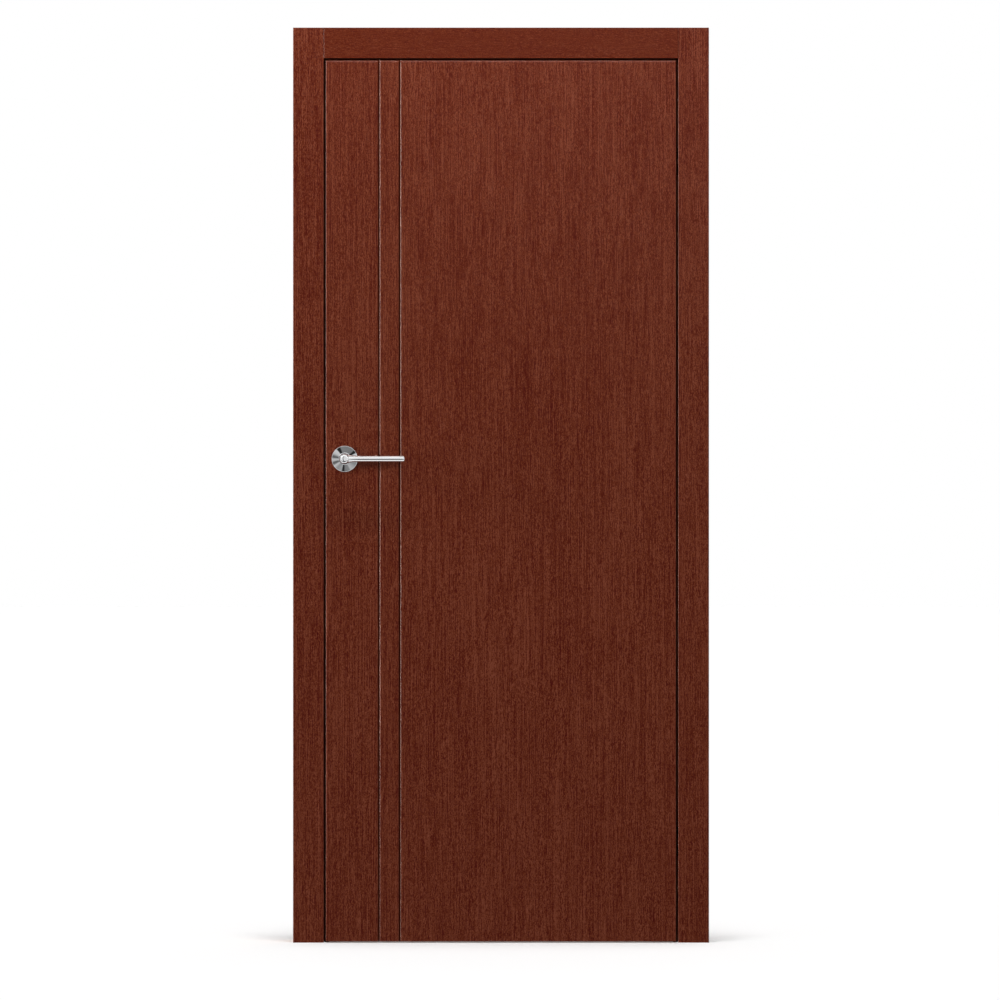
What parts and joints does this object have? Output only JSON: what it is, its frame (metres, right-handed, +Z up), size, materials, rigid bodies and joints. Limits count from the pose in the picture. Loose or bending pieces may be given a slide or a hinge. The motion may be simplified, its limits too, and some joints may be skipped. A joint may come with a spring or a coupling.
{
  "type": "veneered interior door in its frame, with casings and lever handles",
  "caption": "Flush veneered door leaf with two upright grooves, hung in a rebated frame with flat casings on both wall faces, and turned by round-bar lever handles.",
  "frame": {"origin": "on the outer face of the hinge-side jamb, where it meets the floor and the wall's front face", "axes": "+X out of that face into the wall on the hinge side, +Y through the wall away from the side that the door opens to, +Z up"},
  "size_m": [0.95, 0.191, 2.09],
  "materials": {
    "frame_veneer": "satin",
    "head_veneer": "satin",
    "leaf_veneer": "satin",
    "edge_veneer": "satin",
    "core_timber": "raw",
    "seal_rubber": "matte",
    "hinge_body": "satin nickel",
    "hinge_arm": "satin",
    "lock_steel": "zinc plated",
    "lock_plate": "satin",
    "polished_chrome": "polished"
  },
  "bodies": {
    "frame": {"front_casing_hinge_side": "frame_veneer", "front_casing_lock_side": "frame_veneer", "rear_casing_hinge_side": "frame_veneer", "rear_casing_lock_side": "frame_veneer", "hinge_jamb": "frame_veneer", "lock_jamb": "frame_veneer", "stop_hinge_side": "frame_veneer", "stop_lock_side": "frame_veneer", "front_casing_head": "head_veneer", "rear_casing_head": "head_veneer", "head_jamb": "head_veneer", "stop_head": "head_veneer", "seal_hinge_side": "seal_rubber", "seal_lock_side": "seal_rubber", "seal_head": "seal_rubber", "strike_plate": "lock_plate", "upper_hinge_frame_body": "hinge_body", "lower_hinge_frame_body": "hinge_body"},
    "leaf": {"leaf_front_skin": "leaf_veneer", "leaf_back_skin": "leaf_veneer", "leaf_edge_band_lock": "edge_veneer", "leaf_edge_band_hinge": "edge_veneer", "leaf_edge_band_top": "edge_veneer", "leaf_lock_stile": "core_timber", "leaf_hinge_stile": "core_timber", "leaf_top_rail": "core_timber", "leaf_bottom_rail": "core_timber", "lock_case": "lock_steel", "lock_faceplate": "lock_plate", "latch_bolt": "lock_steel", "front_rose": "polished_chrome", "rear_rose": "polished_chrome", "upper_hinge_leaf_body": "hinge_body", "lower_hinge_leaf_body": "hinge_body"},
    "handle": {"front_lever": "polished_chrome", "rear_lever": "polished_chrome", "spindle": "lock_steel", "lock_follower": "lock_steel"},
    "hinge_arms": {"upper_hinge_arms": "hinge_arm", "lower_hinge_arms": "hinge_arm"}
  },
  "joints": [
    {"name": "leaf_swing", "type": "hinge", "parent": "frame", "child": "leaf", "pos_m": [-0.0375, -0.0185, 1], "axis": [0, 0, 1], "range_deg": [0, 105]},
    {"name": "lever_turn", "type": "hinge", "parent": "leaf", "child": "handle", "pos_m": [-0.797, 0.004, 1.105], "axis": [0, 1, 0], "range_deg": [0, 40], "stiffness_Nm_per_rad": 1.5, "springref_deg": -20.05},
    {"name": "hinge_arm_turn", "type": "hinge", "parent": "frame", "child": "hinge_arms", "pos_m": [-0.0375, -0.0185, 1], "axis": [0, 0, 1], "range_deg": [0, 52.5]}
  ],
  "couplings": [
    {"joint": "hinge_arm_turn", "follows": "leaf_swing", "ratio": 0.5}
  ]
}
